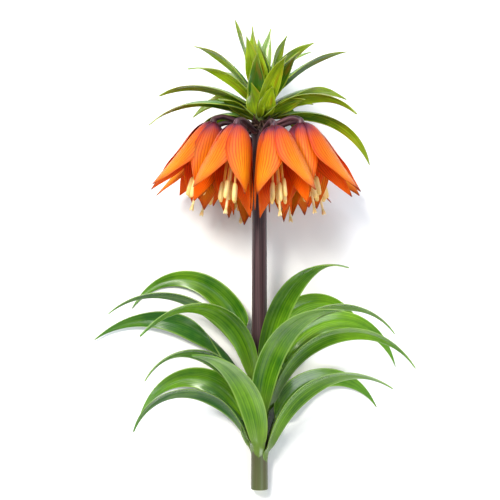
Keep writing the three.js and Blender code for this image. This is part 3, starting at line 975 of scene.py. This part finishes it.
def stamens(bell):
    """Six stamens round a style that splits in three at its tip, on a three-sided ovary."""
    k = bell.number
    ovary_end = OVARY_START + OVARY_LENGTH
    parts = [
        rod_in_bell(
            bell,
            [
                (OVARY_START, 0, 0, 1.6),
                (OVARY_START + 3, 0, 0, 2.6),
                (ovary_end - 2, 0, 0, 2.3),
                (ovary_end, 0, 0, 0.9),
            ],
            steps=12,
            sides=18,
            material=STYLE_SKIN,
            section=ovary_section,
        ),
        rod_in_bell(
            bell,
            [(ovary_end - 1, 0, 0, 0.95), (40, 0, 0, 0.75), (STYLE_LENGTH - 4.5, 0, 0, 0.9)],
            steps=16,
            sides=10,
            material=STYLE_SKIN,
        ),
    ]
    for lobe in range(STIGMA_LOBES):
        turn = math.radians(360 / STIGMA_LOBES * lobe + bell.roll + 20)
        tip = STYLE_LENGTH - vary(k + 8 * lobe, 0.3)
        stops = [
            (STYLE_LENGTH - 6, 0.1, turn, 0.6),
            (tip - 3, 0.5, turn, 0.75),
            (tip - 1, 1.1, turn, 0.7),
            (tip - 0.2, 1.5, turn, 0),
        ]
        parts.append(rod_in_bell(bell, stops, steps=9, sides=8, material=STYLE_SKIN))
    for j in range(STAMEN_COUNT):
        turn = math.radians(360 / STAMEN_COUNT * j + bell.roll + vary(k * 5 + j, 8))
        reach = ANTHER_START + vary(k * 11 + j, 2.5)
        end = reach + ANTHER_LENGTH
        filament = [
            (OVARY_START + 1.5, 1.6, turn, 0.85),
            (OVARY_START + 12, 3.0, turn, 0.8),
            (reach - 6, 4.0, turn, 0.65),
            (reach + 1, ANTHER_RING_RADIUS - 0.3, turn, 0.4),
        ]
        parts.append(rod_in_bell(bell, filament, steps=16, sides=8, material=FILAMENT_SKIN))
        last = len(ANTHER_PROFILE) - 1
        anther = [
            (
                blend(reach + 0.2, end, (1 - math.cos(math.pi * i / last)) / 2),
                blend(ANTHER_RING_RADIUS - 0.1, ANTHER_RING_RADIUS + 0.9, i / last),
                turn,
                ANTHER_RADIUS * share,
            )
            for i, share in enumerate(ANTHER_PROFILE)
        ]
        tone = vary(k * 13 + j, 1)
        parts.append(rod_in_bell(bell, anther, 18, 16, ANTHER_SKIN, anther_section, tone))
    return join(f"bell_{k + 1}_stamens", parts)


bells = [Bell(k) for k in range(BELL_COUNT)]
for bell in bells:
    place_on_plant(tepals(bell), f"bell_{bell.number + 1}")
    place_on_plant(stamens(bell), f"stamens_{bell.number + 1}")

# ---- Stem, flower stalks and umbel ----


def stem_shaft():
    """The stem's own body, a little swollen where the leaves leave it and under the crown."""
    line = []
    steps = 110
    for step in range(steps + 1):
        y = blend(-STEM_LENGTH + 0.5, 0.5, step / steps)
        swelling = 1.1 * math.exp(-(((y + 5) / 5) ** 2)) + 0.05 * math.sin(y / 9)
        for whorl in WHORLS.values():
            swelling += 0.35 * math.exp(-(((y - whorl["y"] + 1) / 5) ** 2))
        place = lay(Vector((0, y, 0)))
        line.append(Vector((*place, (stem_radius(y) + swelling) * MM)))
    shaft = tube(line, STEM_SIDES, Vector((0, 0, -1)), STEM_SKIN)
    return join("stem_shaft", [shaft])


def stem_cut():
    """The cut across the stem's end, with the skin drawn in round the pith."""
    rim = stem_radius(-STEM_LENGTH)
    line = []
    # how far in from the end, and the radius there
    for y, radius in ((0, 0), (0.02, 1.5), (0.05, 3), (0.08, 4.4), (0.12, rim - 0.5), (0.5, rim)):
        place = lay(Vector((0, y - STEM_LENGTH, 0)))
        line.append(Vector((*place, radius * MM)))
    return join("stem_cut", [tube(line, STEM_SIDES, Vector((1, 0, 0)), cut_flesh())])


def stalk(bell):
    """A flower stalk, which arches out of the umbel and down into its bell."""
    end = bell.top - bell.down * (3 * JOINT_GAP)
    middle = bell.top.length

    def rise(share, height):
        p = bell.out * (share * middle)
        p.y = bell.top.y + height
        return p

    # places along it, and its radius there as a share of STALK_RADIUS
    stops = [
        (Vector((0, -4, 0)) + bell.out * 1.5, 1.35),
        (rise(0.22, -STALK_RISE * 0.6), 1.12),
        (rise(0.45, STALK_RISE * 0.15), 0.98),
        (rise(0.75, STALK_RISE * 0.9), 0.94),
        (rise(0.92, STALK_RISE * 0.75), 0.98),
        (end - bell.down * 1.2, 1.15),
        (end + bell.down * 0.8, 1.45),
    ]
    line = []
    for x, y, z, radius in through([Vector((*p, share)) for p, share in stops], 36):
        place = lay(settle(Vector((x, y, z))))
        line.append(Vector((*place, radius * STALK_RADIUS * MM)))
    upright = LAID.to_3x3() @ bell.side
    return tube(line, 16, upright, STALK_SKIN, tone=vary(bell.number + 70, 1))


def umbel_scale(n):
    """A dry brown scale leaf between the flower stalks, kept dark so that it also serves as painted shade in
    the gaps there. Every second one is short and broad, and the others are narrow and hang down between the
    bells."""
    broad = n % 2 == 0
    azimuth = SPIRAL_ANGLE * n + vary(n + 500, 20)
    out, side = around(azimuth)
    length = 8 + vary(n + 520, 3) if broad else 11 + vary(n + 520, 5)
    sag = 1 + vary(n + 540, 4) if broad else 8 + vary(n + 540, 5)
    curl = vary(n + 560, 3)
    rows = []
    for i in range(SCALE_STEPS + 1):
        t = i / SCALE_STEPS
        here = out * (4 + length * t * (1 - 0.25 * t)) + side * (curl * t * t)
        here.y = vary(n + 580, 1.5) - 1 + 3 * t - sag * t * t + 0.8 * math.sin(7 * t + n)
        width = (2.4 if broad else 1.3) * (1 - t) ** 0.8 + 0.12
        rows.append([lay(settle(here + side * (width * share))) for share in (-1, 0, 1)])
    return blade(rows, (SCALE_AND_SHADE_SKIN, SCALE_AND_SHADE_SKIN), vary(n + 600, 1))


place_on_plant(stem_shaft(), "stem")
place_on_plant(stem_cut(), "stem")
place_on_plant(join("flower_stalks", [stalk(bell) for bell in bells]), "stem")
scales = join("umbel_scales", [umbel_scale(n) for n in range(SCALE_COUNT)])
place_on_plant(thicken(scales, SCALE_FLESH), "stem")

# ---- Crown and leaves ----


def lance(t, half_width, root_half_width):
    belly = half_width * math.sin(math.pi * t**0.72) ** 1.1
    return root_half_width * (1 - t) ** 3 + belly + 0.35 - 0.2 * t**4


def grow(azimuth, root, y, length, start, end, sway, facing, steps_a_row):
    """The middle line of a leaf that leaves the stem at a slant and droops, as places and directions.
    A leaf that meets the surface runs on along it, and every leaf turns its face a little upwards."""
    out, side = around(azimuth)
    p = out * root
    p.y = y
    line = []
    for step in range(GROWTH_STEPS + 1):
        t = step / GROWTH_STEPS
        angle = math.radians(start + (end - start) * t**1.15)
        way = out * math.sin(angle) + side * (sway * t)
        way.y = math.cos(angle)
        touching = ease(p.z - surface_under(p.y), 1.5, TOUCHING_HEIGHT)
        if way.z < 0:
            way.z *= touching
        way.normalize()
        if step % steps_a_row == 0:
            upright = side.cross(way).normalized()
            turned = facing * t * (2 - t) + (1 - touching) * ease(t, 0, 0.3)
            normal = upright.lerp(Vector((0, 0, 1)), min(turned, 1))
            normal = (normal - way * normal.dot(way)).normalized()
            line.append((t, p.copy(), normal, way.cross(normal)))
        p += way * (length / GROWTH_STEPS)
    return line


def twisted(normal, across, angle):
    """The two directions across a blade, turned round the way that it grows."""
    turned = normal * math.cos(angle) + across * math.sin(angle)
    return turned, across * math.cos(angle) - normal * math.sin(angle)


def across_leaf(middle, normal, across, half_width, hollow, columns, wave=0.0):
    """The row of points across a leaf whose section is an arc with a crease along its middle."""
    row = []
    for column in range(columns + 1):
        share = 2 * column / columns - 1
        angle = share * half_width / hollow
        crease = -0.11 * half_width * math.exp(-((share / 0.22) ** 2))
        waved = wave * abs(share) ** 3 * math.copysign(1, share)
        height = hollow * (1 - math.cos(angle)) + crease + waved
        row.append(middle + across * (hollow * math.sin(angle)) + normal * height)
    return row


def bract(seed, azimuth, y, form):
    """A bract of the crown: those that face up stand shorter and more upright."""
    upward = math.cos(math.radians(90 * min(from_up(azimuth) / LOOKING_UP, 1)))
    line = grow(
        azimuth,
        root=BRACT_ROOT_RADIUS,
        y=y,
        length=form["length"] * (1 + vary(seed + 100, 0.12)) * (1 - UPRIGHT["length"] * upward),
        start=form["start"] * (1 - UPRIGHT["start"] * upward) + vary(seed + 200, 4),
        end=form["end"] * (1 - UPRIGHT["end"] * upward) + vary(seed + 300, 14),
        sway=vary(seed + 400, 0.25),
        facing=FACING_UP,
        steps_a_row=2,
    )
    rows = []
    for t, p, normal, across in line:
        half_width = lance(t, form["half_width"], BRACT_ROOT_HALF_WIDTH)
        twist = vary(seed + 620, 0.75) * (1 - 0.7 * upward) * t**1.5
        normal, across = twisted(normal, across, twist)
        wave = 0.7 * math.sin(9 * t + seed) * ease(t, 0.1, 0.4)
        row = across_leaf(p, normal, across, half_width, 7 + 5 * t, BRACT_COLUMNS, wave)
        rows.append([lay(settle(q, BRACT_ROOM)) for q in row])
    return blade(rows, (BRACT_TOP, BRACT_BACK), vary(seed + 900, 1))


def spiral_bract(n):
    """Bract n of the spiral: the higher it stands, the shorter and the more upright it is."""
    share = (n / (BRACT_COUNT - 1)) ** 1.2
    form = {key: blend(LOWEST_BRACT[key], TOP_BRACT[key], share) for key in LOWEST_BRACT}
    azimuth = SPIRAL_START + SPIRAL_ANGLE * n + vary(n, 8)
    return bract(n, azimuth, blend(CROWN_START, CROWN_AXIS_LENGTH - 3, share), form)


def collar_bract(n):
    """A short broad bract at the crown's base, between the long ones."""
    azimuth = 360 * (n + 0.5) / COLLAR_COUNT - 180 + vary(n + 700, 9)
    return bract(n + 720, azimuth, CROWN_START + 0.5 + vary(n + 740, 1), COLLAR_BRACT)


def crown():
    """The leafy crown above the bells: bracts in a spiral on a short green axis."""
    bracts = [spiral_bract(n) for n in range(BRACT_COUNT)]
    bracts += [collar_bract(n) for n in range(COLLAR_COUNT)]
    piece = join("crown_bracts", bracts)
    thicken(piece, BRACT_FLESH)
    line = []
    for y, radius in ((JOINT_GAP, 3.8), (8, 4.8), (20, 4.0), (28, 3.0), (CROWN_AXIS_LENGTH, 0)):
        line.append(Vector((*lay(Vector((0, y, 0))), radius * MM)))
    axis = tube(through(line, 20), 20, Vector((1, 0, 0)), AXIS_SKIN)
    return join(piece.name, [piece, axis])


def leaf(name, whorl, number):
    """A strap leaf, which clasps the stem at its root."""
    seed = number - whorl["y"] + LEAF_SEED
    y = whorl["y"] + vary(seed, 3)
    root = stem_radius(y) + LEAF_ROOM / 2 + 2 * JOINT_GAP
    azimuth = whorl["first"] + whorl["step"] * number + vary(seed + 31, 6)
    facing_up = max(0, math.cos(math.radians(azimuth))) ** 6
    line = grow(
        azimuth,
        root=root,
        y=y,
        length=LEAF_LENGTH * (1 + vary(seed + 62, 0.14)),
        start=LEAF_START + vary(seed + 93, 4),
        end=(LEAF_END + vary(seed + 124, 26)) * (1 - LEAF_HELD_UP * facing_up),
        sway=vary(seed + 155, 0.3) + math.copysign(LEAF_SWEEP, azimuth) * facing_up,
        facing=FACING_UP,
        steps_a_row=1,
    )
    out, side = around(azimuth)
    rows = []
    for sunk, drop, half_width in LEAF_HEEL:
        heel = out * (root - sunk)
        heel.y = y - drop
        row = across_leaf(heel, -out, side, half_width, root, LEAF_COLUMNS)
        rows.append([lay(q) for q in row])
    for t, p, normal, across in line:
        half_width = lance(t, LEAF_HALF_WIDTH, LEAF_ROOT_HALF_WIDTH)
        normal, across = twisted(normal, across, vary(seed + 640, 0.4) * t**1.5)
        hollow = root + 10 * math.sqrt(t)
        wave = 0.7 * math.sin(8 * t + seed) * ease(t, 0.1, 0.4)
        row = across_leaf(p, normal, across, half_width, hollow, LEAF_COLUMNS, wave)
        rows.append([lay(on_surface(q, LEAF_ROOM)) for q in row])
    strap = blade(rows, (LEAF_TOP, LEAF_BACK), vary(seed + 9, 1))
    piece = join(f"leaf_{name}_{number + 1}_blade", [strap])
    return thicken(piece, LEAF_FLESH)


place_on_plant(crown(), "crown")
for name, whorl in WHORLS.items():
    for number in range(whorl["count"]):
        place_on_plant(leaf(name, whorl, number), f"leaf_{name}_{number + 1}")

# ---- Surface, light and camera ----

CAMERA_HEIGHT = 81  # degrees above the surface: square to the stem, which leans up towards the crown
CAMERA_LENS = 105
FRAME_WIDTH = 0.352  # metres across the picture, at the plant's middle
AIM_HEIGHT = 0.05  # metres above the surface
SENSOR_WIDTH = 36
BOARD_SIZE = 6  # metres


def pale_surface():
    """The surface it lies on: matt white painted board."""
    bpy.ops.mesh.primitive_plane_add(size=BOARD_SIZE)
    floor = bpy.context.object
    floor.name = "surface"
    material, tree, skin = new_material("white_board", Roughness=0.7)
    place = add_node(tree, "TexCoord")
    mottle = add_node(tree, "TexNoise", {"Vector": place.outputs["Object"], "Scale": 6.0})
    white = add_node(
        tree,
        "Mix",
        {FACTOR: mottle, COLOR_A: colour("#f7f7f6"), COLOR_B: colour("#fbfbfa")},
        data_type="RGBA",
    )
    tree.links.new(white.outputs[MIXED], skin.inputs["Base Color"])
    floor.data.materials.append(material)


def soft_light(name, place, size, power, tint):
    """A large soft lamp that looks at the plant."""
    bpy.ops.object.light_add(type="AREA", location=place)
    lamp = bpy.context.object
    lamp.name = name
    lamp.data.size = size
    lamp.data.energy = power
    lamp.data.color = colour(tint)[:3]
    lamp.rotation_euler = (middle - Vector(place)).to_track_quat("-Z", "Y").to_euler()


low, high = CAD_BOX
middle = (low + high) / 2
pale_surface()
soft_light("key_light", (-0.5, 0.5, 1.2), 0.45, 21.5, "#fffaf2")
soft_light("fill_light", (0.7, -0.8, 1.0), 0.6, 9, "#f4f7ff")
soft_light("sky_light", (0.1, 1.2, 0.75), 0.5, 10, "#dceaff")
world = bpy.data.worlds.new("studio")
world.use_nodes = True
bpy.context.scene.world = world
sky = world.node_tree.nodes["Background"]
sky.inputs["Color"].default_value = colour("#f4f8ff")
sky.inputs["Strength"].default_value = 0.47
bpy.context.scene.view_settings.view_transform = "Standard"

bpy.ops.object.camera_add()
camera = bpy.context.object
camera.name = "camera"
camera.data.lens = CAMERA_LENS
camera.data.sensor_width = SENSOR_WIDTH
tip = math.radians(CAMERA_HEIGHT)
back = Vector((0, -math.cos(tip), math.sin(tip)))
aim = Vector((middle.x, middle.y, AIM_HEIGHT))
camera.location = aim + back * (FRAME_WIDTH * CAMERA_LENS / SENSOR_WIDTH)
camera.rotation_euler = (-back).to_track_quat("-Z", "Y").to_euler()
bpy.context.scene.camera = camera
